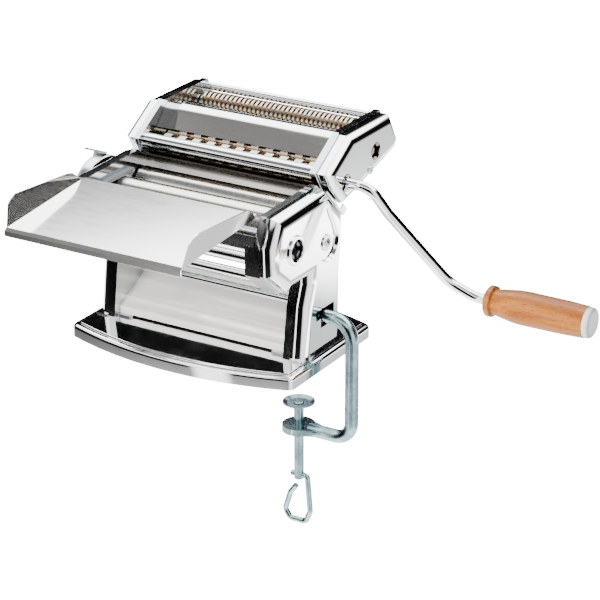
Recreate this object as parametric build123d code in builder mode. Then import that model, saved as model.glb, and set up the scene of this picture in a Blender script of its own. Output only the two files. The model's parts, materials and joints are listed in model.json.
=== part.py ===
from build123d import *
from math import acos, cos, degrees, hypot, pi, radians, sin, sqrt, tan
import os

# Hand-cranked pasta machine with a duplex cutting head, clamped to a table edge.
# Millimetres. X runs along the rollers (+X is the crank side), Y runs to the back, Z is up.
# The origin is the centre of the base's underside, which stands on the table.

# ---- clearances -------------------------------------------------------------------------------
run_fit = 0.06        # a journal in its bush, on the radius
slide_fit = 0.2       # a piece that slides in a slot
seat_gap = 0.03       # a pressed-in bush in its plate, on the radius

# ---- body: side frames and covers -------------------------------------------------------------
frame_in = 76.0       # middle to the inner face of a side frame
plate_t = 2.0         # side frame sheet
flange_w = 4.0        # turned-out rim of a side frame
lip_w = 7.0           # turned-in lip along the lower front of a side frame
sheet = 1.2           # pressed chrome sheet
cover_depth = 14.5    # side frame to the cover's face
cover_inset = 1.4     # cover wall inside the frame's rim
cover_round = 9.0     # rounding round the cover's face
frame_out = frame_in + plate_t
cover_face = frame_out + cover_depth

# side outline of the body, as (y, z), from the foot of the leg round the head
leg_foot_y = -33.5
leg_rear_y = 27.0
head_front_y = -73.0
head_rear_y = 31.0
head_top_z = 136.0
chamfer_sum = 141.2   # the sloping rear top edge lies on y + z = chamfer_sum

# ---- base -------------------------------------------------------------------------------------
base_margin = 6.7     # base beyond the cover's face
base_half_x = cover_face + base_margin
base_half_y = 58.0    # length of the straight sides, halved
base_bow = 18.0       # rise of the curved front and rear edges
base_h = 11.0
base_step = 1.0       # raised middle panel above the rim
base_rim = 5.5        # width of the rim round the raised panel
base_round = 3.0
foot_r = 7.0
foot_x, foot_y = base_half_x - 19.2, base_half_y - 16.0

# ---- rollers and their gears ------------------------------------------------------------------
roller_r = 12.5
roller_end_gap = 1.5  # roller end to side frame
journal_r = 6.0
bush_r = journal_r + 2.0
bush_flange_r = journal_r + 3.5
bush_flange_t = 0.9
front_y, roller_z = -20.4, 110.0
open_gap = 2.3        # widest setting between the rollers
closing = 2.0         # travel of the rear roller towards the front one
block = 2 * journal_r + 4.4  # side of the square block that carries the rear roller
gear_w = 5.0
gear_gap = 1.4        # side frame to gear
gear_teeth = 12
gear_module = 2.19
drive_teeth = 8
drive_angle = 198.8   # direction from the front roller to the drive pinion
tooth_play = 0.85     # taken off each tooth's thickness, so that gears run at every setting

rear_y = front_y + 2 * roller_r + open_gap
gear_pitch_r = gear_module * gear_teeth / 2
drive_pitch_r = gear_module * drive_teeth / 2
drive_y = front_y + (gear_pitch_r + drive_pitch_r) * cos(radians(drive_angle))
drive_z = roller_z + (gear_pitch_r + drive_pitch_r) * sin(radians(drive_angle))

# ---- crank sockets ----------------------------------------------------------------------------
crank_r = 4.0
socket_r = crank_r + 0.1
socket_tube_r = crank_r + 2.4
socket_depth = 12.0
slot_w = 3.6
slot_depth = 6.0
pin_r = 1.5
pin_half = 5.8

# ---- cutting head -----------------------------------------------------------------------------
head_tilt = 14.9      # the row of cutter axes rises to the back by this angle
wide_y, wide_z = 31.7, 131.7
pair_gap = 19.0       # between the two axes of a pair
pair_pitch = 45.5     # crank axis to crank axis
cutter_in = frame_in - 0.4  # middle to the inner face of a cutter side plate
cutter_plate_t = 1.5
cutter_r = 11.0
cutter_core_r = pair_gap - cutter_r - 0.4
wide_pitch = 13.0
narrow_pitch = 4.0
disc_play = 0.2       # side clearance between meshing discs
cutter_journal_r = 4.5
cutter_face = cover_face - 0.5
cutter_teeth = 9
cutter_out = cutter_in + cutter_plate_t
rail_gap = 0.5
rail_t = 1.4
rail_end_y = 40.5

# ---- crank ------------------------------------------------------------------------------------
crank_throw = 102.0
crank_bearing = -62.4 # direction of the arm, from +Y towards +Z
grip_x = cutter_face + 96.0
grip_len = 86.0
grip_r = 13.0

# ---- thickness regulator ----------------------------------------------------------------------
dial_y, dial_z = -17.0, 103.0
dial_r = 31.0
dial_depth = 11.0
dial_hub_r = 6.0
index_r = 24.5
regulator_turn = 100.0
follower_r = 2.0
follower_dy = -5.0    # the follower pin stands in front of the rear roller's axis
lever_lean = -23.0    # the lever leans back from upright at the widest setting
lever_len = 32.5

# ---- feed tray --------------------------------------------------------------------------------
tray_half = frame_in - 1.0
tray_front = (-160.0, 127.3)
tray_rear = (-66.0, 135.5)
tray_end = (-46.0, 126.8)
tray_t = 1.0

# ---- table clamp ------------------------------------------------------------------------------
clamp_r = 5.2
clamp_z = 37.0
clamp_x = cover_face + 23.3
arm_z = -60.0
screw_x = base_half_x - 29.7
screw_r = 3.8
eye_r = 13.0
eye_t = 5.0
pad_z = -40.0
pad_r = 12.5
screw_end_z = -104.0
wire_r = 2.3


os.makedirs("parts", exist_ok=True)


def gear_outline(teeth, module, angle, tip_add, root_cut):
    """Involute gear outline round (0, 0), with a tooth centred at the given angle in degrees."""
    pitch_r = module * teeth / 2
    base_r = pitch_r * cos(radians(20))
    inv20 = tan(radians(20)) - radians(20)
    half = (pi * module / 2 - tooth_play) / 2 / pitch_r

    def half_angle(r):
        if r <= base_r:
            return half + inv20
        a = acos(base_r / r)
        return half + inv20 - (tan(a) - a)

    root_r, tip_r = pitch_r - root_cut, pitch_r + tip_add
    radii = [root_r] + [max(root_r, base_r) + (tip_r - max(root_r, base_r)) * k / 4 for k in range(1, 5)]
    points = []
    for tooth in range(teeth):
        mid = radians(angle) + 2 * pi * tooth / teeth
        points += [(r * cos(mid - half_angle(r)), r * sin(mid - half_angle(r))) for r in radii]
        points += [(r * cos(mid + half_angle(r)), r * sin(mid + half_angle(r))) for r in reversed(radii)]
    return points


def at(points, y, z):
    """The same outline moved to (y, z)."""
    return [(py + y, pz + z) for py, pz in points]


def side_plane(x):
    """A sketch plane across the machine at x, whose own axes are Y and Z."""
    return Plane.YZ.offset(x)


def tilted(e1, e2):
    """A point of the cutting head, from its distance along and above its row of axes."""
    c, s = cos(radians(head_tilt)), sin(radians(head_tilt))
    return wide_y + e1 * c - e2 * s, wide_z + e1 * s + e2 * c


def save(piece, name):
    piece.part.label = name
    export_step(piece.part, f"parts/{name}.step")


body_outline = [
    (leg_foot_y - 2.2, -4), (leg_foot_y + 6, 52), (-22, 68), (-22, 72), (-44, 72),
    (-49, 69.5), (head_front_y, 90), (head_front_y, 112.6), (-63, head_top_z - 2.5),
    (chamfer_sum - head_top_z, head_top_z), (head_rear_y, chamfer_sum - head_rear_y), (head_rear_y, 90),
    (leg_rear_y, 64), (leg_rear_y, -4),
]
screw_at = (5.5, 92.8)      # on the crank side, in a dished teardrop
left_screw_at = (7.0, 68.0)  # below the regulator's dial
t_half, t_low, t_high, stem_half, stem_low = 13.0, clamp_z - 0.5, clamp_z + 7, clamp_r + 0.8, clamp_z - 8

# ======================================== base =================================================
with BuildPart() as base_plate:
    with BuildSketch() as base_plan:
        with BuildLine():
            Line((base_half_x, -base_half_y), (base_half_x, base_half_y))
            ThreePointArc((base_half_x, base_half_y), (0, base_half_y + base_bow), (-base_half_x, base_half_y))
            Line((-base_half_x, base_half_y), (-base_half_x, -base_half_y))
            ThreePointArc((-base_half_x, -base_half_y), (0, -base_half_y - base_bow), (base_half_x, -base_half_y))
        make_face()
        fillet(base_plan.vertices(), 7)
    extrude(amount=base_h - base_step)
    fillet(base_plate.faces().sort_by(Axis.Z)[-1].edges(), base_round)
    with BuildSketch(Plane.XY.offset(base_h - base_step)):
        offset(base_plan.face(), amount=-base_rim, mode=Mode.ADD)
    extrude(amount=base_step)
    fillet(base_plate.faces().sort_by(Axis.Z)[-1].edges(), 0.6)
    # pressed from sheet, so it is hollow underneath
    with BuildSketch():
        offset(base_plan.face(), amount=-sheet, mode=Mode.ADD)
    extrude(amount=base_h - base_step - sheet, mode=Mode.SUBTRACT)
    with BuildSketch(Plane.XY.offset(base_h - base_step - sheet)):
        offset(base_plan.face(), amount=-base_rim - sheet, mode=Mode.ADD)
    extrude(amount=base_step, mode=Mode.SUBTRACT)
save(base_plate, "base_plate")

with BuildPart() as rubber_feet:
    with BuildSketch():
        with GridLocations(2 * foot_x, 2 * foot_y, 2, 2):
            Circle(foot_r)
    extrude(amount=base_h - sheet)
save(rubber_feet, "rubber_feet")

# ================================ side frames and covers =======================================
with BuildPart() as frame_blank:
    with BuildSketch(side_plane(frame_in)) as frame_face:
        Polygon(*body_outline, align=None)
    extrude(amount=plate_t)
    with BuildSketch(side_plane(frame_out)):
        Polygon(*body_outline, align=None)
        offset(Polygon(*body_outline, align=None, mode=Mode.PRIVATE), amount=-sheet,
               kind=Kind.INTERSECTION, mode=Mode.SUBTRACT)
    extrude(amount=flange_w)
    # lip turned inwards along the lower front of the head
    with BuildSketch(side_plane(frame_in - lip_w)):
        Polygon(*body_outline, align=None)
        offset(Polygon(*body_outline, align=None, mode=Mode.PRIVATE), amount=-sheet,
               kind=Kind.INTERSECTION, mode=Mode.SUBTRACT)
        Polygon((head_front_y - 5, 60), (-40, 60), (-40, 84), (-60, 112.6), (head_front_y - 5, 112.6),
                align=None, mode=Mode.INTERSECT)
    extrude(amount=lip_w)
    # the leg is cut off level with the base and has a foot turned inwards
    with BuildSketch(side_plane(frame_in - 20)):
        Polygon((-60, -10), (60, -10), (60, base_h), (-60, base_h), align=None)
    extrude(amount=40, mode=Mode.SUBTRACT)
    with BuildSketch(Plane.XY.offset(base_h)):
        with Locations((frame_in - 6, (leg_foot_y + leg_rear_y) / 2)):
            RectangleRounded(14, leg_rear_y - leg_foot_y - 8, 2)
    extrude(amount=1.5)
    # bearing holes
    with BuildSketch(side_plane(frame_in)):
        with Locations((front_y, roller_z)):
            Circle(bush_r + seat_gap)
        with Locations((drive_y, drive_z)):
            Circle(socket_tube_r + run_fit)
        with Locations((rear_y - closing / 2, roller_z)):
            Rectangle(block + closing + 2 * slide_fit, block + 2 * slide_fit)
    extrude(amount=plate_t, mode=Mode.SUBTRACT)
for sign, name in ((1, "right_side_frame"), (-1, "left_side_frame")):
    with BuildPart() as side_frame:
        add(frame_blank.part if sign > 0 else mirror(frame_blank.part, about=Plane.YZ, mode=Mode.PRIVATE))
    save(side_frame, name)

cover_outline = offset(Polygon(*body_outline, align=None, mode=Mode.PRIVATE), amount=-cover_inset,
                       kind=Kind.INTERSECTION, mode=Mode.PRIVATE)
cavity_outline = offset(Polygon(*body_outline, align=None, mode=Mode.PRIVATE), amount=-cover_inset - sheet,
                        kind=Kind.INTERSECTION, mode=Mode.PRIVATE)
dish_r, dish_depth = 13.0, 2.4
screw_shank_r = 1.8
dish_tip = (screw_at[0] - 1, screw_at[1] + 31)


def dish_points(grow):
    """Teardrop round the cover screw, drawn out to a point near the top edge."""
    y, z = screw_at
    r = dish_r + grow
    ring = [(y + r * cos(radians(a)), z + r * sin(radians(a))) for a in range(150, 391, 15)]
    return ring + [(dish_tip[0], dish_tip[1] + grow)]


def make_cover(dished):
    """Pressed cover of one side, crank side in plan, with or without the dished teardrop."""
    with BuildPart() as blank:
        with BuildSketch(side_plane(frame_out)):
            add(cover_outline)
        extrude(amount=cover_depth)
        fillet(blank.faces().sort_by(Axis.X)[-1].edges(), cover_round)
        if dished:
            with BuildSketch(side_plane(cover_face - dish_depth)):
                Polygon(*dish_points(0), align=None)
            extrude(amount=dish_depth + 1, taper=-30, mode=Mode.SUBTRACT)
    with BuildPart() as cavity:
        with BuildSketch(side_plane(frame_out)):
            add(cavity_outline)
        extrude(amount=cover_depth - sheet)
        fillet(cavity.faces().sort_by(Axis.X)[-1].edges(), cover_round - sheet)
        if dished:
            with BuildSketch(side_plane(cover_face - dish_depth - sheet)):
                Polygon(*dish_points(2.6), align=None)
            extrude(amount=dish_depth + sheet, mode=Mode.SUBTRACT)
    with BuildPart() as shell:
        add(blank.part)
        add(cavity.part, mode=Mode.SUBTRACT)
        with BuildSketch(side_plane(frame_out - 1)):
            Polygon((-60, -10), (60, -10), (60, base_h), (-60, base_h), align=None)
        extrude(amount=cover_depth + 2, mode=Mode.SUBTRACT)
        # foot flange on the base
        with BuildSketch(Plane.XY.offset(base_h)):
            with Locations(((frame_out + cover_face) / 2 + 0.8, (leg_foot_y + leg_rear_y) / 2 - 0.5)):
                RectangleRounded(cover_depth + 1.4, leg_rear_y - leg_foot_y + 1, 3)
            with Locations((frame_out + flange_w / 2, (leg_foot_y + leg_rear_y) / 2)):
                Rectangle(flange_w + 0.4, leg_rear_y - leg_foot_y + 4, mode=Mode.SUBTRACT)
        extrude(amount=sheet)
        with BuildSketch(side_plane(frame_out)):
            with Locations(screw_at if dished else left_screw_at):
                Circle(screw_shank_r + 0.1)
        extrude(amount=cover_depth, mode=Mode.SUBTRACT)
    return shell.part


with BuildPart() as right_cover:
    add(make_cover(True))
    # hole for the crank and T-shaped slot for the table clamp
    with BuildSketch(side_plane(cover_face - 4)):
        with Locations((drive_y, drive_z)):
            Circle(socket_tube_r + 1.8)
        Polygon((-t_half, t_low), (-stem_half, t_low), (-stem_half, stem_low), (stem_half, stem_low),
                (stem_half, t_low), (t_half, t_low), (t_half, t_high), (-t_half, t_high), align=None)
    extrude(amount=5, mode=Mode.SUBTRACT)
save(right_cover, "right_cover")

with BuildPart() as left_cover:
    add(mirror(make_cover(False), about=Plane.YZ, mode=Mode.PRIVATE))
    with BuildSketch(side_plane(-cover_face)):
        with Locations((dial_y, dial_z)):
            Circle(dial_hub_r + slide_fit)
    extrude(amount=4, mode=Mode.SUBTRACT)
save(left_cover, "left_cover")

with BuildPart() as drive_socket_ring:
    with BuildSketch(side_plane(cover_face)):
        with Locations((drive_y, drive_z)):
            Circle(socket_tube_r + 4.8)
            Circle(socket_tube_r + 1.8, mode=Mode.SUBTRACT)
    extrude(amount=1.6)
    fillet(drive_socket_ring.faces().sort_by(Axis.X)[-1].edges(), 0.7)
save(drive_socket_ring, "drive_socket_ring")

# domed screw into the side frame, with a washer, one on each cover
screws = {"right_cover_screw": (1, cover_face - dish_depth, screw_at),
          "left_cover_screw": (-1, cover_face, left_screw_at)}
for name, (side, seat, place) in screws.items():
    with BuildPart() as screw_turned:
        with BuildSketch(Plane.XY):
            with BuildLine():
                Polyline((frame_out, 0), (frame_out, screw_shank_r), (seat, screw_shank_r), (seat, 3.6),
                         (seat + 1.4, 3.6))
                ThreePointArc((seat + 1.4, 3.6), (seat + 2.5, 2.0), (seat + 2.9, 0.9))
                Polyline((seat + 2.9, 0.9), (seat + 2.0, 0.9), (seat + 2.0, 0), (frame_out, 0))
            make_face()
        revolve(axis=Axis.X)
    with BuildPart() as cover_screw:
        add(screw_turned.part.moved(Location((0, *place))) if side > 0 else
            mirror(screw_turned.part.moved(Location((0, *place))), about=Plane.YZ, mode=Mode.PRIVATE))
    save(cover_screw, name)
with BuildPart() as washers:
    for side, seat, place in screws.values():
        with BuildSketch(side_plane(side * seat)):
            with Locations(place):
                Circle(6.3)
                Circle(3.6, mode=Mode.SUBTRACT)
        extrude(amount=side * 1.1)
save(washers, "cover_screw_washers")

# ===================================== cross members ===========================================
def cross_rod(y, z, radius, name, bore=0.0, reach=frame_in):
    with BuildPart() as rod:
        with BuildSketch(side_plane(-reach)):
            with Locations((y, z)):
                Circle(radius)
                if bore:
                    Circle(bore, mode=Mode.SUBTRACT)
        extrude(amount=2 * reach)
    save(rod, name)


cross_rod(-52.0, 94.7, 5.5, "front_guard_tube", bore=4.3)
cross_rod(-46.0, 77.6, 4.0, "lower_tie_rod")
cross_rod(-10.0, 48.4, 3.0, "middle_tie_rod")
cross_rod(24.0, 84.0, 3.0, "rear_tie_rod")


def thin_bar(points, name, half_length):
    """A flat strip or bent sheet of this section, running between the side frames."""
    with BuildPart() as bar:
        with BuildSketch(side_plane(-half_length)):
            Polygon(*points, align=None)
        extrude(amount=2 * half_length)
    save(bar, name)


def scraper(centre_y, side):
    """Blade that points at the roller's underside at 45 degrees, just clear of it."""
    c = sqrt(0.5)
    r0, r1, t = roller_r + 0.35, roller_r + 11.0, 0.7
    along, across = (side * c, -c), (c, side * c)
    near = (centre_y + along[0] * r0, roller_z + along[1] * r0)
    far = (centre_y + along[0] * r1, roller_z + along[1] * r1)
    return [near, (near[0] + across[0] * t, near[1] + across[1] * t),
            (far[0] + across[0] * t, far[1] + across[1] * t), (far[0] - across[0] * t, far[1] - across[1] * t),
            (near[0] - across[0] * 0.2, near[1] - across[1] * 0.2)]


thin_bar(scraper(front_y, -1), "front_scraper", frame_in)
thin_bar(scraper(rear_y, 1), "rear_scraper", frame_in)

# sloping plate that the dough slides out over, with a turned-down front edge
chute_lip_y, chute_slope = leg_foot_y + 7.5, 27.0
chute_len = leg_rear_y - 4 - chute_lip_y
rise = tan(radians(chute_slope))
with BuildPart() as chute_plate:
    with BuildSketch(side_plane(-frame_in)):
        Polygon((chute_lip_y, base_h + 1.5), (chute_lip_y, base_h + 6.5),
                (chute_lip_y + 1, base_h + 7.6), (chute_lip_y + chute_len, base_h + 7.6 + (chute_len - 1) * rise),
                (chute_lip_y + chute_len, base_h + 6.3 + (chute_len - 1) * rise),
                (chute_lip_y + 1.2, base_h + 6.3), (chute_lip_y + 1.2, base_h + 1.5), align=None)
    extrude(amount=2 * frame_in)
save(chute_plate, "chute_plate")

with BuildPart() as dough_guides:
    for side in (1, -1):
        with BuildSketch(side_plane(side * (frame_in - 4.5))):
            with Locations(((front_y + rear_y) / 2 - 18, roller_z + roller_r + 2.2)):
                Rectangle(34, 2.6)
        extrude(amount=side * 4.5)
save(dough_guides, "dough_guides")

# ==================================== rollers and drive =========================================
roller_half = frame_in - roller_end_gap
gear_x = frame_out + gear_gap


def roller(y, right_end, left_end, name):
    with BuildPart() as piece:
        with BuildSketch(Plane.XY):
            with BuildLine():
                Polyline((-left_end, 0), (-left_end, journal_r), (-roller_half, journal_r),
                         (-roller_half, roller_r - 1), (-roller_half + 1, roller_r), (roller_half - 1, roller_r),
                         (roller_half, roller_r - 1), (roller_half, journal_r), (right_end, journal_r),
                         (right_end, 0), close=True)
            make_face()
        revolve(axis=Axis.X)
    with BuildPart() as placed:
        add(piece.part.moved(Location((0, y, roller_z))))
    save(placed, name)


roller(front_y, gear_x + gear_w, frame_out + 2, "front_roller")
roller(rear_y, gear_x + gear_w, frame_out + 2, "rear_roller")

gear_tip, gear_root = 1.15, 2.5
for name, y, angle in (("front_roller_gear", front_y, 0.0), ("rear_roller_gear", rear_y, 180 + 180 / gear_teeth)):
    with BuildPart() as gear:
        with BuildSketch(side_plane(gear_x)):
            Polygon(*at(gear_outline(gear_teeth, gear_module, angle, gear_tip, gear_root), y, roller_z), align=None)
            with Locations((y, roller_z)):
                Circle(journal_r, mode=Mode.SUBTRACT)
        extrude(amount=gear_w)
    save(gear, name)

# the pinion's tooth faces the front roller's gear in step with its gap
to_front = drive_angle - 180
nearest_tooth = round(drive_angle / (360 / gear_teeth)) * (360 / gear_teeth)
pinion_angle = to_front + (drive_angle - nearest_tooth) * gear_teeth / drive_teeth + 180 / drive_teeth
with BuildPart() as drive_pinion:
    with BuildSketch(side_plane(gear_x)):
        Polygon(*at(gear_outline(drive_teeth, gear_module, pinion_angle, 1.3, 2.2), drive_y, drive_z), align=None)
    extrude(amount=gear_w)
    with BuildSketch(side_plane(frame_in - 1)):
        with Locations((drive_y, drive_z)):
            Circle(socket_tube_r)
    extrude(amount=cover_face - frame_in + 0.6)
    with BuildSketch(side_plane(cover_face - 0.4)):
        with Locations((drive_y, drive_z)):
            Circle(socket_r)
    extrude(amount=-socket_depth, mode=Mode.SUBTRACT)
    with BuildSketch(side_plane(cover_face - 0.4)):
        with Locations((drive_y, drive_z)):
            Rectangle(slot_w, 2 * socket_tube_r + 1)
            Rectangle(2 * socket_tube_r + 1, slot_w)
    extrude(amount=-slot_depth + 2, mode=Mode.SUBTRACT)
save(drive_pinion, "drive_pinion")

with BuildPart() as roller_bushes:
    for side in (1, -1):
        with BuildSketch(side_plane(side * (frame_in - bush_flange_t))):
            with Locations((front_y, roller_z)):
                Circle(bush_flange_r)
                Circle(journal_r + run_fit, mode=Mode.SUBTRACT)
        extrude(amount=side * bush_flange_t)
        with BuildSketch(side_plane(side * frame_in)):
            with Locations((front_y, roller_z)):
                Circle(bush_r)
                Circle(journal_r + run_fit, mode=Mode.SUBTRACT)
        extrude(amount=side * (plate_t + 0.6))
save(roller_bushes, "front_roller_bushes")

# sliding blocks that carry the rear roller; the left one has the cam follower pin
cam_x = frame_out + 5.5
with BuildPart() as bearing_blocks:
    for side in (1, -1):
        with BuildSketch(side_plane(side * (frame_in - bush_flange_t))):
            with Locations((rear_y, roller_z)):
                Rectangle(block, block)
                Circle(journal_r + run_fit, mode=Mode.SUBTRACT)
        extrude(amount=side * (plate_t + bush_flange_t + 0.9))
    with BuildSketch(side_plane(-frame_out - 0.9)):
        with Locations((rear_y, roller_z)):
            Rectangle(block, block)
    extrude(amount=-2.4)
    with BuildSketch(side_plane(-frame_out - 2.0)):
        with Locations((rear_y + follower_dy, roller_z)):
            Circle(follower_r)
    extrude(amount=-(cam_x + 3.0 - frame_out - 2.0))
    with BuildSketch(side_plane(-frame_out - 0.9)):
        with Locations((rear_y, roller_z)):
            Circle(journal_r + run_fit)
    extrude(amount=-1.4, mode=Mode.SUBTRACT)
save(bearing_blocks, "rear_bearing_blocks")

# ==================================== thickness regulator ======================================
with BuildPart() as regulator_dial:
    with BuildSketch(side_plane(-cover_face)):
        with Locations((dial_y, dial_z)):
            Circle(dial_r)
    extrude(amount=-dial_depth)
    fillet(regulator_dial.faces().sort_by(Axis.X)[0].edges(), 4)
    with BuildSketch(side_plane(-cover_face)):
        with Locations((dial_y, dial_z)):
            Circle(dial_r - sheet)
    extrude(amount=-(dial_depth - sheet), mode=Mode.SUBTRACT)
    with BuildSketch(side_plane(-cover_face - dial_depth)):
        with Locations((dial_y, dial_z)):
            Circle(dial_hub_r + slide_fit)
            with PolarLocations(index_r, 7, start_angle=99, angular_range=regulator_turn + 16):
                Circle(2.2)
    extrude(amount=2 * sheet, mode=Mode.SUBTRACT)
save(regulator_dial, "regulator_dial")

hub_out = cover_face + dial_depth + 0.6
with BuildPart() as regulator_shaft:
    with BuildSketch(side_plane(-hub_out)):
        with Locations((dial_y, dial_z)):
            Circle(dial_hub_r)
    extrude(amount=hub_out - cam_x - 2.5)
    with BuildSketch(side_plane(-hub_out - 1.5)):
        with Locations((dial_y, dial_z)):
            Circle(3.0)
    extrude(amount=1.5)
    with BuildSketch(side_plane(-hub_out - 1.5)):
        with Locations((dial_y, dial_z)):
            Circle(4.6)
    extrude(amount=-1.6)
    fillet(regulator_shaft.faces().sort_by(Axis.X)[0].edges(), 1.0)
save(regulator_shaft, "regulator_shaft")

# sheet lever, bent over at the top into a rounded thumb tab, drawn upright and then leaned back
with BuildPart() as lever_upright:
    with BuildSketch(side_plane(-hub_out)):
        Circle(8)
        with Locations((0, lever_len / 2)):
            Rectangle(16, lever_len)
        Circle(3.0, mode=Mode.SUBTRACT)
    extrude(amount=-1.5)
    with BuildSketch(Plane.XY.offset(lever_len - 1.5)):
        with Locations((-hub_out - 3.0, 0)):
            Rectangle(6, 16)
        with Locations((-hub_out - 6.0, 0)):
            Circle(8)
        with Locations((-hub_out + 10, 0)):
            Rectangle(20, 30, mode=Mode.SUBTRACT)
    extrude(amount=1.5)
with BuildPart() as regulator_lever:
    add(lever_upright.part.rotate(Axis.X, lever_lean).moved(Location((0, dial_y, dial_z))))
save(regulator_lever, "regulator_lever")

# cam plate inside the left cover: its spiral slot draws the rear roller's block forwards
pin_dy, pin_dz = rear_y + follower_dy - dial_y, roller_z - dial_z
rest_r, rest_a = hypot(pin_dy, pin_dz), degrees(acos(pin_dy / hypot(pin_dy, pin_dz)))
end_r = hypot(pin_dy - closing, pin_dz)
end_a = degrees(acos((pin_dy - closing) / end_r))


def cam_track(offset_r, reverse=False):
    steps = range(-2, 27)
    points = []
    for k in reversed(steps) if reverse else steps:
        t = k / 24
        r = rest_r + (end_r - rest_r) * t + offset_r
        a = radians(rest_a + (end_a - rest_a) * t - regulator_turn * t)
        points.append((dial_y + r * cos(a), dial_z + r * sin(a)))
    return points


with BuildPart() as cam_plate:
    with BuildSketch(side_plane(-cam_x)):
        with Locations((dial_y, dial_z)):
            Circle(rest_r + follower_r + 2.2)
        Polygon(*cam_track(follower_r + 0.3), *cam_track(-follower_r - 0.3, reverse=True), align=None,
                mode=Mode.SUBTRACT)
    extrude(amount=-2.5)
save(cam_plate, "regulator_cam_plate")

# ======================================== feed tray ============================================
fy, fz = tray_front
ry, rz = tray_rear
tray_slope = (rz - fz) / (ry - fy)
with BuildPart() as feed_tray:
    with BuildSketch(side_plane(-tray_half)):
        Polygon((fy - 2.5, fz - 6), (fy - 2.8, fz - 2), (fy, fz), (ry, rz), tray_end,
                (tray_end[0] - 0.8, tray_end[1] - 0.9), (ry - 0.4, rz - tray_t), (fy + 0.4, fz - tray_t),
                (fy - 1.8, fz - 2.4), (fy - 1.5, fz - 6), align=None)
    extrude(amount=2 * tray_half)
    # the part behind the bend is narrower, to pass between the dough guides
    with BuildSketch(Plane.XY.offset(rz - 20)):
        for side in (1, -1):
            with Locations((side * (tray_half + 4), ry + 14)):
                Rectangle(2 * 8.5, 27)
    extrude(amount=40, mode=Mode.SUBTRACT)
    # side wings, leaning out a little
    wing_lean = 8.0
    for side in (1, -1):
        with BuildSketch(Plane(origin=(side * (tray_half - 1.0), 0, fz - tray_t), x_dir=(0, 1, 0),
                               z_dir=(cos(radians(wing_lean)) * side, 0, -sin(radians(wing_lean))))):
            flip = side
            Polygon(*[(y, flip * (z - fz + tray_t)) for y, z in (
                (fy, fz - tray_t), (fy + 5.5, 142.6), (fy + 10, 146.3), (fy + 16, 147.6), (ry - 20, 144.2),
                (ry - 13, 143), (ry - 7, 138.8), (ry - 3, rz - 0.5 - tray_t))], align=None)
        extrude(amount=1.0)
save(feed_tray, "feed_tray")

# ======================================== cutting head =========================================
rail_sum = chamfer_sum + (rail_gap + rail_t) * sqrt(2)
bottom_y = 31.0
rail_start_y = 14.5
bottom_z = rail_sum - bottom_y
tilt_rise = tan(radians(head_tilt))
cutter_outline = [
    (5.3, 144.6), (rail_start_y, rail_sum - rail_start_y), (bottom_y, bottom_z),
    (111.0, bottom_z + (111 - bottom_y) * tilt_rise),
    (114.5, 144.0), (102.0, 166.5), (40.0, 166.2),
]
n = sqrt(0.5)
rail_profile = [(rail_start_y - rail_t * n, rail_sum - rail_start_y - rail_t * n),
                (rail_start_y, rail_sum - rail_start_y),
                (rail_end_y, rail_sum - rail_end_y), (rail_end_y - rail_t * n, rail_sum - rail_end_y - rail_t * n)]
axes = {"wide_a": tilted(0, 0), "wide_b": tilted(pair_gap, 0), "narrow_a": tilted(pair_pitch, 0),
        "narrow_b": tilted(pair_pitch + pair_gap, 0)}
with BuildPart() as cutter_plate_blank:
    with BuildSketch(side_plane(cutter_in)):
        Polygon(*cutter_outline, align=None)
    extrude(amount=cutter_plate_t)
    with BuildSketch(side_plane(cutter_out)):
        Polygon(*cutter_outline, align=None)
        offset(Polygon(*cutter_outline, align=None, mode=Mode.PRIVATE), amount=-sheet,
               kind=Kind.INTERSECTION, mode=Mode.SUBTRACT)
    extrude(amount=3.4)
    # rail along the sloping edge of the body
    with BuildSketch(side_plane(cutter_in - 3)):
        Polygon(*rail_profile, align=None)
    extrude(amount=13)
    with BuildSketch(side_plane(cutter_in + 9)):
        Polygon((35.0, rail_sum - 35.0), (38.2, rail_sum - 31.8), (rail_end_y + 3.2, rail_sum - rail_end_y + 3.2),
                (rail_end_y, rail_sum - rail_end_y), align=None)
    extrude(amount=1.0)
    with BuildSketch(side_plane(cutter_in)):
        for key, (y, z) in axes.items():
            with Locations((y, z)):
                Circle((socket_tube_r if key.endswith("a") else cutter_journal_r) + run_fit)
    extrude(amount=cutter_plate_t, mode=Mode.SUBTRACT)
for sign, name in ((1, "right_cutter_plate"), (-1, "left_cutter_plate")):
    with BuildPart() as cutter_plate:
        add(cutter_plate_blank.part if sign > 0 else
            mirror(cutter_plate_blank.part, about=Plane.YZ, mode=Mode.PRIVATE))
    save(cutter_plate, name)

cutter_depth = cutter_face - cutter_out
rivet_at = (67.2, 131.0)
with BuildPart() as cutter_cover_blank:
    with BuildSketch(side_plane(cutter_out)):
        offset(Polygon(*cutter_outline, align=None, mode=Mode.PRIVATE), amount=-1.7,
               kind=Kind.INTERSECTION, mode=Mode.ADD)
    extrude(amount=cutter_depth)
    fillet(cutter_cover_blank.faces().sort_by(Axis.X)[-1].edges(), 7)
with BuildPart() as cutter_cavity:
    with BuildSketch(side_plane(cutter_out)):
        offset(Polygon(*cutter_outline, align=None, mode=Mode.PRIVATE), amount=-1.7 - sheet,
               kind=Kind.INTERSECTION, mode=Mode.ADD)
    extrude(amount=cutter_depth - sheet)
    fillet(cutter_cavity.faces().sort_by(Axis.X)[-1].edges(), 7 - sheet)
with BuildPart() as cutter_cover_shell:
    add(cutter_cover_blank.part)
    add(cutter_cavity.part, mode=Mode.SUBTRACT)
    with BuildSketch(side_plane(cutter_face - 3)):
        with Locations(rivet_at):
            Circle(1.6)
    extrude(amount=4, mode=Mode.SUBTRACT)
with BuildPart() as right_cutter_cover:
    add(cutter_cover_shell.part)
    with BuildSketch(side_plane(cutter_face - 3)):
        with Locations(axes["wide_a"], axes["narrow_a"]):
            Circle(socket_tube_r + 0.4)
    extrude(amount=4, mode=Mode.SUBTRACT)
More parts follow.
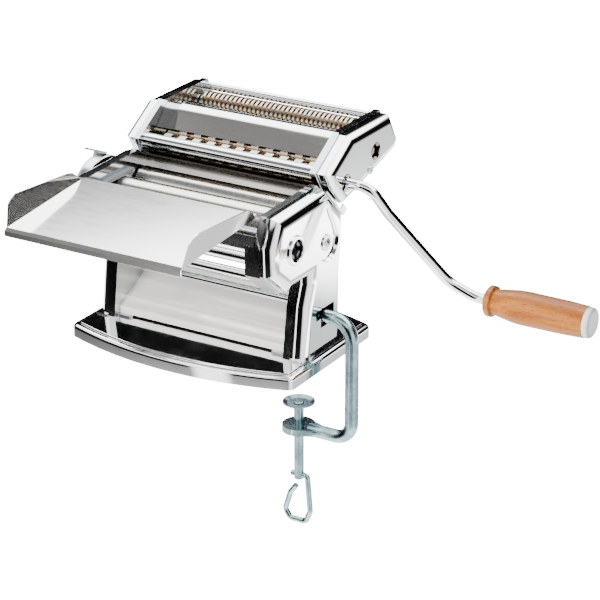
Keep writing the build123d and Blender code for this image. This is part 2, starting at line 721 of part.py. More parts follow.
save(right_cutter_cover, "right_cutter_cover")
with BuildPart() as left_cutter_cover:
    add(mirror(cutter_cover_shell.part, about=Plane.YZ, mode=Mode.PRIVATE))
save(left_cutter_cover, "left_cutter_cover")

with BuildPart() as cutter_rivets:
    for side in (1, -1):
        with BuildSketch(side_plane(side * cutter_out)):
            with Locations(rivet_at):
                Circle(1.5)
        extrude(amount=side * (cutter_face - cutter_out))
        with BuildSketch(side_plane(side * cutter_face)):
            with Locations(rivet_at):
                Circle(3.2)
                Circle(1.2, mode=Mode.SUBTRACT)
        extrude(amount=side * 1.0)
save(cutter_rivets, "cutter_cover_rivets")

cross_rod(102.5, 160.4, 3.1, "cutter_top_bar", reach=cutter_in)
cross_rod(14.5, 141.0, 6.0, "lower_cutter_guide", bore=4.8, reach=cutter_in)
cross_rod(*tilted(pair_pitch - 13.2, -11.5), 2.5, "cutter_middle_tie_rod", reach=cutter_in)
cross_rod(*tilted(pair_pitch + pair_gap + 12.5, -9.0), 2.5, "cutter_rear_tie_rod", reach=cutter_in)

# arched sheet between the two pairs of cutters, open underneath, stepped down at its ends
arch_y, arch_z, arch_r = 57.5, 146.5, 13.5
arch_flank = 14.0     # flat front of the sheet, which leads the dough in between the wide cutters
with BuildPart() as upper_cutter_guide:
    for radius, half in ((arch_r, cutter_in - 7), (arch_r - sheet, cutter_in)):
        with BuildSketch(side_plane(-half)):
            with BuildLine():
                outer = CenterArc((arch_y, arch_z), radius, 35, 105)
                inner = CenterArc((arch_y, arch_z), arch_r - 2 * sheet, 35, 105)
                outer_flank = Line(outer @ 1, outer @ 1 + (outer % 1) * arch_flank)
                inner_flank = Line(inner @ 1, inner @ 1 + (inner % 1) * arch_flank)
                Line(outer @ 0, inner @ 0)
                Line(outer_flank @ 1, inner_flank @ 1)
            make_face()
        extrude(amount=2 * half)
save(upper_cutter_guide, "upper_cutter_guide")

# sheets that close the slope between body and head: one on each
thin_bar([(rail_start_y - 3.1, rail_sum - rail_start_y + 5.2), (rail_start_y + 0.4, rail_sum - rail_start_y + 0.3),
          (30.0, rail_sum + 0.3 - 30.0), (30.9, rail_sum + 2.1 - 30.9),
          (rail_start_y + 1.6, rail_sum - rail_start_y + 1.8), (rail_start_y - 1.8, rail_sum - rail_start_y + 5.6)],
         "cutter_front_sheet", cutter_in)
thin_bar([(6.5, chamfer_sum - 0.6 - 6.5), (head_rear_y - 0.5, chamfer_sum - 0.6 - head_rear_y + 0.5),
          (head_rear_y - 1.4, chamfer_sum - 2.4 - head_rear_y + 1.4), (5.6, chamfer_sum - 2.4 - 5.6)],
         "rear_guard_sheet", frame_in)


def comb(first_axis, name):
    """Stripper bar under a pair of cutters."""
    mid = first_axis + pair_gap / 2
    corners = [tilted(mid + a, b) for a, b in ((-0.7, -13.5), (0.7, -13.5), (0.7, -7.6), (-0.7, -7.6))]
    thin_bar(corners, name, cutter_in)


comb(0, "wide_cutter_comb")
comb(pair_pitch, "narrow_cutter_comb")

cutter_half = cutter_in - 1.0
cutter_gear_x = cutter_out + 1.2
cutter_gear_w = 7.0


def cutter(key, pitch, phase, name):
    """A cutter roller: discs at the given pitch on a core, with its journals, turned in one piece."""
    width = pitch / 2 - disc_play
    crank_end = key.endswith("a")
    right_r = socket_tube_r if crank_end else cutter_journal_r
    right_end = cutter_face + 0.4 if crank_end else cutter_gear_x + cutter_gear_w
    profile = [(-cutter_half, 0), (-cutter_half, cutter_core_r)]
    k = -40
    while k < 41:
        centre = k * pitch + phase
        if abs(centre) + width / 2 < cutter_half - 1.0:
            profile += [(centre - width / 2, cutter_core_r), (centre - width / 2, cutter_r),
                        (centre + width / 2, cutter_r), (centre + width / 2, cutter_core_r)]
        k += 1
    profile += [(cutter_half, cutter_core_r), (cutter_half, right_r), (right_end, right_r), (right_end, 0)]
    y, z = axes[key]
    left_r = right_r if crank_end else cutter_journal_r
    with BuildPart() as turned:
        with BuildSketch(Plane.XY):
            Polygon(*profile, align=None)
        revolve(axis=Axis.X)
        with BuildSketch(side_plane(-cutter_half)):
            Circle(left_r)
        extrude(amount=-(cutter_out - cutter_half + 1.5))
        if crank_end:
            with BuildSketch(side_plane(right_end)):
                Circle(socket_r)
            extrude(amount=-socket_depth, mode=Mode.SUBTRACT)
            with BuildSketch(side_plane(right_end)):
                Rectangle(slot_w, 2 * socket_tube_r + 1)
                Rectangle(2 * socket_tube_r + 1, slot_w)
            extrude(amount=-slot_depth, mode=Mode.SUBTRACT)
    with BuildPart() as placed:
        # the socket's slots are turned in line with the crank arm
        turn = crank_bearing if crank_end else 0
        add(turned.part.rotate(Axis.X, turn).moved(Location((0, y, z))))
    save(placed, name)


cutter("wide_a", wide_pitch, 0.0, "wide_cutter_a")
cutter("wide_b", wide_pitch, wide_pitch / 2, "wide_cutter_b")
cutter("narrow_a", narrow_pitch, 0.0, "narrow_cutter_a")
cutter("narrow_b", narrow_pitch, narrow_pitch / 2, "narrow_cutter_b")

cutter_module = pair_gap / cutter_teeth
for key, (y, z) in axes.items():
    first = key.endswith("a")
    angle = head_tilt if first else head_tilt + 180 + 180 / cutter_teeth
    with BuildPart() as gear:
        with BuildSketch(side_plane(cutter_gear_x)):
            Polygon(*at(gear_outline(cutter_teeth, cutter_module, angle, 1.0, 2.0), y, z), align=None)
            with Locations((y, z)):
                Circle(socket_tube_r if first else cutter_journal_r, mode=Mode.SUBTRACT)
        extrude(amount=cutter_gear_w)
    save(gear, key.replace("_", "_cutter_gear_"))

# =========================================== crank =============================================
cy, cz = axes["wide_a"]
arm_dir = Vector(0, cos(radians(crank_bearing)), sin(radians(crank_bearing)))
crank_plane = Plane(origin=(0, cy, cz), x_dir=(1, 0, 0), z_dir=Vector(1, 0, 0).cross(arm_dir))
crank_in = cutter_face + 0.4 - socket_depth + 1.0
rod_path = [(crank_in, 0), (cutter_face + 20, 0), (cutter_face + 29, 25),
            (cutter_face + 65, crank_throw - 11.5), (cutter_face + 85, crank_throw),
            (grip_x + grip_len - 8, crank_throw)]
with BuildPart() as crank_rod:
    with BuildLine(crank_plane) as rod_line:
        FilletPolyline(*rod_path, radius=[14, 30, 30, 22])
    with BuildSketch(Plane(origin=rod_line.line @ 0, z_dir=rod_line.line % 0)):
        Circle(crank_r)
    sweep(path=rod_line.line)

pin_plane = Plane(origin=(cutter_face + 0.4 - slot_depth / 2, cy, cz), x_dir=(1, 0, 0), z_dir=arm_dir)
with BuildPart() as crank_pin:
    with BuildSketch(pin_plane):
        Circle(pin_r)
    extrude(amount=pin_half, both=True)
with BuildPart() as crank_rod_drilled:
    add(crank_rod.part)
    add(crank_pin.part, mode=Mode.SUBTRACT)
save(crank_rod_drilled, "crank_rod")
save(crank_pin, "crank_drive_pin")

gy, gz = cy + arm_dir.Y * crank_throw, cz + arm_dir.Z * crank_throw
grip_bore = crank_r + 0.12
with BuildPart() as grip_turned:
    with BuildSketch(Plane.XY):
        with BuildLine():
            Polyline((grip_x, grip_bore), (grip_x, 0.82 * grip_r), (grip_x + 1.2, 0.92 * grip_r),
                     (grip_x + 5, 0.92 * grip_r), (grip_x + 6.2, 0.76 * grip_r))
            Spline((grip_x + 6.2, 0.76 * grip_r), (grip_x + 12, 0.83 * grip_r), (grip_x + 24, 0.97 * grip_r),
                   (grip_x + 42, grip_r), (grip_x + 62, 0.99 * grip_r), (grip_x + grip_len - 5, 0.93 * grip_r))
            Polyline((grip_x + grip_len - 5, 0.93 * grip_r), (grip_x + grip_len - 5, grip_bore),
                     (grip_x, grip_bore))
        make_face()
    revolve(axis=Axis.X)
with BuildPart() as crank_grip:
    add(grip_turned.part.moved(Location((0, gy, gz))))
save(crank_grip, "crank_grip")

with BuildPart() as end_cap:
    with BuildSketch(side_plane(grip_x + grip_len - 5)):
        with Locations((gy, gz)):
            Circle(0.9 * grip_r)
    extrude(amount=5)
    fillet(end_cap.faces().sort_by(Axis.X)[-1].edges(), 2.5)
save(end_cap, "grip_end_cap")

# ======================================== table clamp ==========================================
bracket_path = [(frame_out + 3.5, clamp_z), (clamp_x, clamp_z), (clamp_x, arm_z), (screw_x + eye_r - 3, arm_z)]
with BuildPart() as clamp_bracket:
    with BuildLine(Plane.XZ) as bracket_line:
        FilletPolyline(*bracket_path, radius=[17, 14])
    with BuildSketch(Plane(origin=bracket_line.line @ 0, z_dir=bracket_line.line % 0)):
        Circle(clamp_r)
    sweep(path=bracket_line.line)
    # hammer head inside the cover
    with BuildSketch(side_plane(frame_out + 3)):
        with Locations((0, clamp_z + 3.4)):
            Rectangle(22, 5.6)
    extrude(amount=4)
    # forged eye for the screw
    with BuildSketch(Plane.XY.offset(arm_z - eye_t / 2)):
        with Locations((screw_x, 0)):
            Circle(eye_r)
        Polygon((screw_x, -eye_r), (screw_x + eye_r + 8, -clamp_r + 0.6), (screw_x + eye_r + 8, clamp_r - 0.6),
                (screw_x, eye_r), align=None)
    extrude(amount=eye_t)
    with BuildSketch(Plane.XY.offset(arm_z - 10)):
        with Locations((screw_x, 0)):
            Circle(screw_r + 0.1)
    extrude(amount=20, mode=Mode.SUBTRACT)
save(clamp_bracket, "clamp_bracket")

with BuildPart() as clamp_screw:
    with BuildSketch(Plane.XY.offset(screw_end_z)):
        with Locations((screw_x, 0)):
            Circle(screw_r)
    extrude(amount=pad_z - 3 - screw_end_z)
    with BuildSketch(Plane.XY.offset(pad_z - 3)):
        with Locations((screw_x, 0)):
            Circle(2.4)
    extrude(amount=3.6)
    with BuildSketch(Plane.XY.offset(pad_z + 0.2)):
        with Locations((screw_x, 0)):
            Circle(4.0)
    extrude(amount=1.2)
    fillet(clamp_screw.faces().sort_by(Axis.Z)[-1].edges(), 0.8)

# wire loop bent from one rod, passed through the end of the screw
loop = [(-6.5, 3.0), (7.5, 3.0), (10.0, -27), (6.0, -36.5), (-8.0, -36.5), (-12.5, -30), (-7.6, -14), (-2.6, -7)]
with BuildPart() as clamp_loop:
    with BuildLine(Plane.XZ) as loop_line:
        FilletPolyline(*[(screw_x + x, screw_end_z + z) for x, z in loop], radius=[2.6, 5, 4, 4, 5, 4])
    with BuildSketch(Plane(origin=loop_line.line @ 0, z_dir=loop_line.line % 0)):
        Circle(wire_r)
    sweep(path=loop_line.line)
save(clamp_loop, "clamp_screw_handle")
with BuildPart() as clamp_screw_drilled:
    add(clamp_screw.part)
    add(clamp_loop.part, mode=Mode.SUBTRACT)
save(clamp_screw_drilled, "clamp_screw")

with BuildPart() as clamp_pad:
    with BuildSketch(Plane.XZ) as pad_half:
        with BuildLine():
            Polyline((2.5, pad_z - 2.6), (6.5, pad_z - 2.6), (9.5, pad_z - 1.2), (pad_r, pad_z + 0.6),
                     (pad_r, pad_z + 1.6), (pad_r - 0.8, pad_z + 1.6), (9.0, pad_z), (6.0, pad_z), (2.5, pad_z),
                     (2.5, pad_z - 2.6))
        make_face()
    revolve(axis=Axis.Z)
with BuildPart() as pad_placed:
    add(clamp_pad.part.moved(Location((screw_x, 0, 0))))
save(pad_placed, "clamp_pad")
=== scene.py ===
# %% [markdown]
# # A hand-cranked pasta machine
# Almost everything on this machine is chromed or zinc-plated steel, so the lesson is mostly
# about metal: how a shape, a finish and the things around it make a reflection. Blender
# adds the finishes, smooth-shaded copies of the visible parts, the light and the camera.

# %% Load the frame
import json
import math
import bpy
from mathutils import Matrix, Vector

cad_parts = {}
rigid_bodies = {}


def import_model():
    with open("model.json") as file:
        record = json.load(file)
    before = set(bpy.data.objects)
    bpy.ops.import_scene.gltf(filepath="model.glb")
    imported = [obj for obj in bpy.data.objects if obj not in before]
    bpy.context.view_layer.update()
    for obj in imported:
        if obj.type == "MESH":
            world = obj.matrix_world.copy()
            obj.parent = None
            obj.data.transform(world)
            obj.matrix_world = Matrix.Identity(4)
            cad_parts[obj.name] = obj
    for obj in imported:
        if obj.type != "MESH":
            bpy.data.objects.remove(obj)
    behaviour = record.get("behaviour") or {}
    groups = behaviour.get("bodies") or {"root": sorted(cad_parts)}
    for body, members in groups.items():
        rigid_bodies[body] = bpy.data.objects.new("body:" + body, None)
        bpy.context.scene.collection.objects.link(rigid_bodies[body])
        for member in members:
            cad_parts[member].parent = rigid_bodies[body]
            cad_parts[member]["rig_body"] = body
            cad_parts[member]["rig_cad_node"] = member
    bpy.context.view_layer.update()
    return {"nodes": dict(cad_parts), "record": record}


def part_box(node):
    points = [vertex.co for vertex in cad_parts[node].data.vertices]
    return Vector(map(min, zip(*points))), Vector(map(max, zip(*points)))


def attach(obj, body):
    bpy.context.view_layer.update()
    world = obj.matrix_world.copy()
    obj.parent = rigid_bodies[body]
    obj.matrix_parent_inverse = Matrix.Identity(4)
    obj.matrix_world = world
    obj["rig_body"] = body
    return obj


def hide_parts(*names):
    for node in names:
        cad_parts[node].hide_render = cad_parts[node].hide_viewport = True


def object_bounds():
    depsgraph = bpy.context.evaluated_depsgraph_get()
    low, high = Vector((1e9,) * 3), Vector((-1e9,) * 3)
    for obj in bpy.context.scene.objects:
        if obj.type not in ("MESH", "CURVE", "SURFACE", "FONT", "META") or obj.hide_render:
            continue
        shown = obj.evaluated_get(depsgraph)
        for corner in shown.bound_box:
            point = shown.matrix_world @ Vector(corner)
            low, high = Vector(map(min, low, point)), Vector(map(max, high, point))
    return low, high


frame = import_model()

nodes = frame["nodes"]

# %% [markdown]
# ## Colour and node helpers
# Colours are easiest to note down as hex codes of the finish as the eye sees it. A shader
# works with linear light, so one function turns a code into linear values. A second helper
# adds a node, sets its values and joins its inputs, which keeps each recipe short enough
# to read in one piece.

# %% Colour and node helpers
def tone(code):
    """A hex colour as linear red, green, blue and alpha."""
    parts = [int(code[i:i + 2], 16) / 255 for i in (1, 3, 5)]
    return [p / 12.92 if p <= 0.04045 else ((p + 0.055) / 1.055) ** 2.4 for p in parts] + [1.0]


def put(tree, kind, values=None, joins=None, **settings):
    """One shader node with its settings, its input values and its incoming links."""
    node = tree.nodes.new(kind)
    for key, value in settings.items():
        setattr(node, key, value)
    for key, value in (values or {}).items():
        node.inputs[key].default_value = value
    for key, socket in (joins or {}).items():
        tree.links.new(socket, node.inputs[key])
    return node


def blend(tree, first, second, factor):
    """The colour between two hex codes that an output picks."""
    mix = put(tree, "ShaderNodeMix", {"A": tone(first), "B": tone(second)}, {"Factor": factor}, data_type="RGBA")
    return mix.outputs["Result"]


def roughened(tree, shader, texture, low, high, pick=(0.3, 0.7)):
    """Spreads a texture over a range of roughness."""
    rough = put(tree, "ShaderNodeMapRange",
                {"From Min": pick[0], "From Max": pick[1], "To Min": low, "To Max": high}, {"Value": texture})
    tree.links.new(rough.outputs["Result"], shader.inputs["Roughness"])


def new_finish(name, color, metallic=0.0, roughness=0.5):
    """A material with a Principled shader; returns the material, its tree and the shader."""
    material = bpy.data.materials.new(name)
    material.use_nodes = True
    tree = material.node_tree
    shader = tree.nodes["Principled BSDF"]
    shader.inputs["Base Color"].default_value = tone(color)
    shader.inputs["Metallic"].default_value = metallic
    shader.inputs["Roughness"].default_value = roughness
    return material, tree, shader


# %% [markdown]
# ## Chrome plate
# Chrome has next to no colour of its own. What tells pressed sheet from a perfect mirror is
# small: the sheet waves a little from the press, and polishing leaves some patches hazier
# than others. So one slow noise bends the normal slightly and varies the tone by a percent
# or two, and one finer noise varies the roughness and adds a fine bump.

# %% Chrome plate
def chrome(name, light, dark, low, high, wave, grain=(1.0, 1.0, 1.0), metallic=1.0):
    """Plated steel. low and high bound the roughness, wave bends the sheet."""
    material, tree, shader = new_finish(name, light, metallic)
    where = put(tree, "ShaderNodeTexCoord").outputs["Object"]
    run = put(tree, "ShaderNodeMapping", {"Scale": grain}, {"Vector": where}).outputs["Vector"]
    haze = put(tree, "ShaderNodeTexNoise", {"Scale": 55.0, "Detail": 6.0, "Roughness": 0.6}, {"Vector": run})
    roughened(tree, shader, haze.outputs["Fac"], low, high)
    slow = put(tree, "ShaderNodeTexNoise", {"Scale": 14.0, "Detail": 2.0}, {"Vector": where})
    tree.links.new(blend(tree, light, dark, slow.outputs["Fac"]), shader.inputs["Base Color"])
    bend = put(tree, "ShaderNodeBump", {"Strength": wave, "Distance": 0.002}, {"Height": slow.outputs["Fac"]})
    fine = put(tree, "ShaderNodeBump", {"Strength": 0.012, "Distance": 0.0002},
               {"Height": haze.outputs["Fac"], "Normal": bend.outputs["Normal"]})
    tree.links.new(fine.outputs["Normal"], shader.inputs["Normal"])
    return material


finish = {
    "pressed_chrome": chrome("pressed_chrome", "#f2f2f0", "#e8eaec", 0.04, 0.10, 0.10),
    "chromed_frame": chrome("chromed_frame", "#c3c6c8", "#aeb2b5", 0.06, 0.14, 0.05),
    "chromed_sheet": chrome("chromed_sheet", "#f4f3f1", "#e6e4e0", 0.06, 0.12, 0.04, (1.0, 4.0, 4.0)),
    "tray_sheet": chrome("tray_sheet", "#f8f6f3", "#f1efec", 0.10, 0.14, 0.015, (1.0, 4.0, 4.0)),
    "chromed_bar": chrome("chromed_bar", "#eceef0", "#dfe2e5", 0.04, 0.09, 0.02, (0.3, 3.0, 3.0)),
    "dial_chrome": chrome("dial_chrome", "#cdd2d5", "#b9bfc2", 0.12, 0.24, 0.05),
    # The guard sheets are chrome painted dark brown. The colour is painted shade and painted reflection, standing for
    # the shade and brownish reflections inside the body.
    "guard_sheet": chrome("guard_sheet", "#857a6f", "#544c44", 0.14, 0.24, 0.12, (0.4, 9.0, 9.0)),
    "chute_sheet": chrome("chute_sheet", "#f6f4ee", "#efece4", 0.08, 0.15, 0.04, (1.0, 4.0, 4.0), metallic=0.45),
}

# %% [markdown]
# ## Ground and turned steel
# The rollers are ground and the cutters turned, both on a lathe, so their marks are rings
# round the axis. On a roller that lies along X, a ring is a place where X alone matters. A
# noise squeezed hard along X and stretched along Y and Z gives those rings. It drives
# the roughness and a fine bump together, as real scratches do.

# %% Ground and turned steel
def turned_steel(name, light, dark, low, high, ring, depth):
    """Bare steel with rings round the X axis, ring rings to the metre or so."""
    material, tree, shader = new_finish(name, light, metallic=1.0)
    where = put(tree, "ShaderNodeTexCoord").outputs["Object"]
    rings_at = put(tree, "ShaderNodeMapping", {"Scale": (ring, 6.0, 6.0)}, {"Vector": where}).outputs["Vector"]
    rings = put(tree, "ShaderNodeTexNoise", {"Scale": 1.0, "Detail": 4.0, "Roughness": 0.65}, {"Vector": rings_at})
    roughened(tree, shader, rings.outputs["Fac"], low, high)
    tree.links.new(blend(tree, light, dark, rings.outputs["Fac"]), shader.inputs["Base Color"])
    bump = put(tree, "ShaderNodeBump", {"Strength": depth, "Distance": 0.0002}, {"Height": rings.outputs["Fac"]})
    tree.links.new(bump.outputs["Normal"], shader.inputs["Normal"])
    return material


finish["roller_steel"] = turned_steel("roller_steel", "#d9d7d2", "#b4b1aa", 0.13, 0.24, 900.0, 0.22)
finish["cutter_steel"] = turned_steel("cutter_steel", "#cdbfae", "#83776a", 0.12, 0.22, 1500.0, 0.18)
finish["screw_steel"] = turned_steel("screw_steel", "#d8dadb", "#b9bcbe", 0.14, 0.28, 1200.0, 0.20)
finish["gear_steel"] = turned_steel("gear_steel", "#8b8c8e", "#6c6d70", 0.30, 0.45, 700.0, 0.35)
finish["spring_steel"] = turned_steel("spring_steel", "#4f4f52", "#3b3b3e", 0.22, 0.36, 400.0, 0.20)
finish["bearing_brass"] = turned_steel("bearing_brass", "#c9a263", "#a37f45", 0.25, 0.38, 900.0, 0.25)

# %% [markdown]
# ## Zinc plate
# The clamp is forged rod with a bright blue zinc plate. Zinc is duller than chrome, slightly
# blue-green, and mottled where the plate grew unevenly. Two noises of different size make the
# mottling, one for the colour and one for the roughness, and the forged skin is a soft bump.

# %% Zinc plate
def zinc(name, light, dark, low, high, skin):
    """Blue bright zinc on forged or bent steel."""
    material, tree, shader = new_finish(name, light, metallic=1.0)
    where = put(tree, "ShaderNodeTexCoord").outputs["Object"]
    patches = put(tree, "ShaderNodeTexNoise", {"Scale": 90.0, "Detail": 5.0, "Roughness": 0.7}, {"Vector": where})
    spread = put(tree, "ShaderNodeMapRange", {"From Min": 0.35, "From Max": 0.65}, {"Value": patches.outputs["Fac"]})
    tree.links.new(blend(tree, light, dark, spread.outputs["Result"]), shader.inputs["Base Color"])
    grit = put(tree, "ShaderNodeTexNoise", {"Scale": 600.0, "Detail": 4.0}, {"Vector": where})
    roughened(tree, shader, grit.outputs["Fac"], low, high)
    forged = put(tree, "ShaderNodeBump", {"Strength": skin, "Distance": 0.0006}, {"Height": patches.outputs["Fac"]})
    pitted = put(tree, "ShaderNodeBump", {"Strength": 0.03, "Distance": 0.0002},
                 {"Height": grit.outputs["Fac"], "Normal": forged.outputs["Normal"]})
    tree.links.new(pitted.outputs["Normal"], shader.inputs["Normal"])
    return material


finish["clamp_zinc"] = zinc("clamp_zinc", "#9db6bc", "#6c868d", 0.16, 0.26, 0.04)
finish["zinc_lever"] = zinc("zinc_lever", "#cfdcdf", "#b3c2c5", 0.18, 0.32, 0.10)

# %% [markdown]
# ## Beech
# The grip is turned from beech. Its grain runs along the handle, so every pattern is
# stretched along X. Beech is known by its flecks, small dark dashes a few millimetres long,
# laid over broad pale bands. The bands come from a wave that a noise disturbs, and the
# flecks from a stretched noise cut off near its top. The wood is oiled, so it has only a trace
# of clear coat and little shine.

# %% Beech
beech, tree, shader = new_finish("beech", "#d8a470", roughness=0.42)
where = put(tree, "ShaderNodeTexCoord").outputs["Object"]
grip_low, grip_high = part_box("crank_grip")
grip_centre = [(a + b) / 2 for a, b in zip(grip_low, grip_high)]
along = put(tree, "ShaderNodeMapping", {"Location": [-c for c in grip_centre]}, {"Vector": where}).outputs["Vector"]
long_way = put(tree, "ShaderNodeMapping", {"Scale": (0.10, 1.0, 1.0)}, {"Vector": along}).outputs["Vector"]
bands = put(tree, "ShaderNodeTexWave", {"Scale": 55.0, "Distortion": 5.0, "Detail": 4.0, "Detail Scale": 1.4},
            {"Vector": long_way}, wave_type="BANDS", bands_direction="Y")
streak = put(tree, "ShaderNodeTexNoise", {"Scale": 260.0, "Detail": 5.0, "Roughness": 0.6}, {"Vector": long_way})
pale = put(tree, "ShaderNodeMix", {"A": tone("#b8722c"), "B": tone("#9b571a")}, {"Factor": bands.outputs["Fac"]},
           data_type="RGBA")
veil = put(tree, "ShaderNodeMapRange", {"From Min": 0.42, "From Max": 0.62, "To Max": 0.55},
           {"Value": streak.outputs["Fac"]})
streaked = put(tree, "ShaderNodeMix", {"B": tone("#87460f")},
               {"A": pale.outputs["Result"], "Factor": veil.outputs["Result"]}, data_type="RGBA")
dash_at = put(tree, "ShaderNodeMapping", {"Scale": (0.22, 1.0, 1.0)}, {"Vector": along}).outputs["Vector"]
dash = put(tree, "ShaderNodeTexNoise", {"Scale": 1500.0, "Detail": 1.0}, {"Vector": dash_at})
flecks = put(tree, "ShaderNodeMapRange", {"From Min": 0.62, "From Max": 0.70, "To Max": 0.75},
             {"Value": dash.outputs["Fac"]})
wood = put(tree, "ShaderNodeMix", {"B": tone("#5c2c06")},
           {"A": streaked.outputs["Result"], "Factor": flecks.outputs["Result"]}, data_type="RGBA")
tree.links.new(wood.outputs["Result"], shader.inputs["Base Color"])
pores = put(tree, "ShaderNodeBump", {"Strength": 0.25, "Distance": 0.0002}, {"Height": streak.outputs["Fac"]},
            invert=True)
tree.links.new(pores.outputs["Normal"], shader.inputs["Normal"])
shader.inputs["Coat Weight"].default_value = 0.08
shader.inputs["Specular IOR Level"].default_value = 0.25
shader.inputs["Coat Roughness"].default_value = 0.22
finish["beech"] = beech

# %% [markdown]
# ## Plastic and rubber
# The grip's end cap is glossy white plastic, the little dough guides are grey plastic and the
# feet are black rubber. All three are moulded, so each gets the fine spark-eroded grain of its
# mould, at its own depth, and a slight variation of tone.

# %% Plastic and rubber
def moulded(name, light, dark, low, high, grain, depth):
    """A moulded surface with the grain of its mould."""
    material, tree, shader = new_finish(name, light)
    where = put(tree, "ShaderNodeTexCoord").outputs["Object"]
    cloud = put(tree, "ShaderNodeTexNoise", {"Scale": 45.0, "Detail": 3.0}, {"Vector": where})
    tree.links.new(blend(tree, light, dark, cloud.outputs["Fac"]), shader.inputs["Base Color"])
    pits = put(tree, "ShaderNodeTexNoise", {"Scale": grain, "Detail": 3.0}, {"Vector": where})
    roughened(tree, shader, pits.outputs["Fac"], low, high, pick=(0.0, 1.0))
    bump = put(tree, "ShaderNodeBump", {"Strength": depth, "Distance": 0.0002}, {"Height": pits.outputs["Fac"]})
    tree.links.new(bump.outputs["Normal"], shader.inputs["Normal"])
    return material


finish["cap_plastic"] = moulded("cap_plastic", "#eef1f6", "#dfe5ee", 0.18, 0.34, 900.0, 0.05)
finish["guide_plastic"] = moulded("guide_plastic", "#8f9498", "#7c8185", 0.35, 0.55, 1400.0, 0.20)
finish["foot_rubber"] = moulded("foot_rubber", "#26282a", "#1b1c1e", 0.55, 0.75, 1600.0, 0.35)

# %% [markdown]
# ## Giving each part its finish
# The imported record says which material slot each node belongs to, so one loop hands every
# node the finish of that name. Four sheets get a finish of their own. The nodes are loose
# triangles straight from the model, so each visible one is replaced with a merged copy, smooth
# across its gentle curves and sharp at its real edges. Its normals are weighted by the area of
# the faces, which keeps a large flat face flat right up to a rounded edge. The gears and the
# cam plate lie behind the covers and stay as they are.

# %% Finishes on the nodes
slot_of = {entry["node"]: entry["material_slot"] for entry in frame["record"]["subparts"]}
body_of = {node: body for body, members in frame["record"]["behaviour"]["bodies"].items() for node in members}
# The two guard sheets take the dark brown guard_sheet finish, whose colour is painted shade and painted reflection.
special = {"feed_tray": "tray_sheet", "chute_plate": "chute_sheet", "rear_guard_sheet": "guard_sheet",
           "cutter_front_sheet": "guard_sheet"}
hidden_inside = {node for node in nodes if "gear" in node or node in ("drive_pinion", "regulator_cam_plate")}
SHARP_ANGLE = math.radians(28)  # a crease steeper than this stays sharp
MERGE_WITHIN = 1e-6             # metres


def only(piece):
    """Makes one object the selected and active one."""
    bpy.ops.object.select_all(action="DESELECT")
    piece.select_set(True)
    bpy.context.view_layer.objects.active = piece


def dress(piece, node):
    """Gives a piece its node's finish."""
    piece.data.materials.clear()
    piece.data.materials.append(finish[special.get(node, slot_of[node])])


def smoothed(node):
    """A merged, smooth-shaded copy of a node, which it replaces."""
    only(nodes[node])
    bpy.ops.object.duplicate(linked=False)
    piece = bpy.context.view_layer.objects.active
    piece.name = node + "_skin"
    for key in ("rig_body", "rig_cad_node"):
        if key in piece:
            del piece[key]
    piece.parent = None
    bpy.ops.object.mode_set(mode="EDIT")
    bpy.ops.mesh.select_all(action="SELECT")
    bpy.ops.mesh.remove_doubles(threshold=MERGE_WITHIN)
    bpy.ops.object.mode_set(mode="OBJECT")
    if piece.data.has_custom_normals:
        bpy.ops.mesh.customdata_custom_splitnormals_clear()
    bpy.ops.object.shade_smooth_by_angle(angle=SHARP_ANGLE)
    bpy.ops.object.modifier_add(type="WEIGHTED_NORMAL")
    weighted = piece.modifiers[-1]
    weighted.weight = 100
    weighted.keep_sharp = True
    bpy.ops.object.modifier_apply(modifier=weighted.name)
    dress(piece, node)
    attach(piece, body_of[node])
    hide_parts(node)


for node in sorted(nodes):
    dress(nodes[node], node)
    if node not in hidden_inside:
        smoothed(node)
print("finishes:", len(finish), "used:", len(set(slot_of.values())))

# %% [markdown]
# ## Floor and light
# The floor is plain and pale, and glows a little so that it stays clean and even. It lights
# nothing itself. The object is lit by a pale sky all round, one broad lamp overhead, one from
# the crank's side and a low one in front, under the tray. They give the wood, the plastic and
# the satin chute their shape, and no lamp shows in a reflection.

# %% Floor and light
floor_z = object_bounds()[0][2] - 0.001
bpy.ops.mesh.primitive_plane_add(size=9.0, location=(0, 0, floor_z))
floor = bpy.context.view_layer.objects.active
floor.name = "floor"
floor_finish, tree, shader = new_finish("pale_floor", "#f4f4f4", roughness=0.8)
where = put(tree, "ShaderNodeTexCoord").outputs["Object"]
mottle = put(tree, "ShaderNodeTexNoise", {"Scale": 3.0, "Detail": 2.0}, {"Vector": where})
tree.links.new(blend(tree, "#f6f6f6", "#f1f1f2", mottle.outputs["Fac"]), shader.inputs["Base Color"])
shader.inputs["Emission Color"].default_value = (1, 1, 1, 1)
shader.inputs["Emission Strength"].default_value = 16.0
floor.data.materials.append(floor_finish)
floor.visible_glossy = False
floor.visible_diffuse = False

world = bpy.data.worlds.new("studio")
bpy.context.scene.world = world
world.use_nodes = True
world.node_tree.nodes["Background"].inputs["Color"].default_value = (1.0, 1.0, 1.0, 1.0)
world.node_tree.nodes["Background"].inputs["Strength"].default_value = 0.45


def soft_light(name, place, target, size, power):
    """A square area light at a place, aimed at a target."""
    bpy.ops.object.light_add(type="AREA", location=place)
    lamp = bpy.context.view_layer.objects.active
    lamp.name = name
    lamp.data.shape = "SQUARE"
    lamp.data.size = size
    lamp.data.energy = power
    lamp.rotation_euler = (Vector(target) - Vector(place)).to_track_quat("-Z", "Y").to_euler()
    lamp.visible_glossy = False


soft_light("overhead_softbox", (0.1, -0.3, 1.3), (0.0, 0.0, 0.0), 1.2, 12.0)
soft_light("side_fill", (1.2, -0.9, 0.7), (0.0, 0.0, 0.05), 0.8, 5.0)
soft_light("low_front_fill", (-0.15, -0.9, 0.12), (0.0, 0.0, 0.02), 0.4, 26.0)

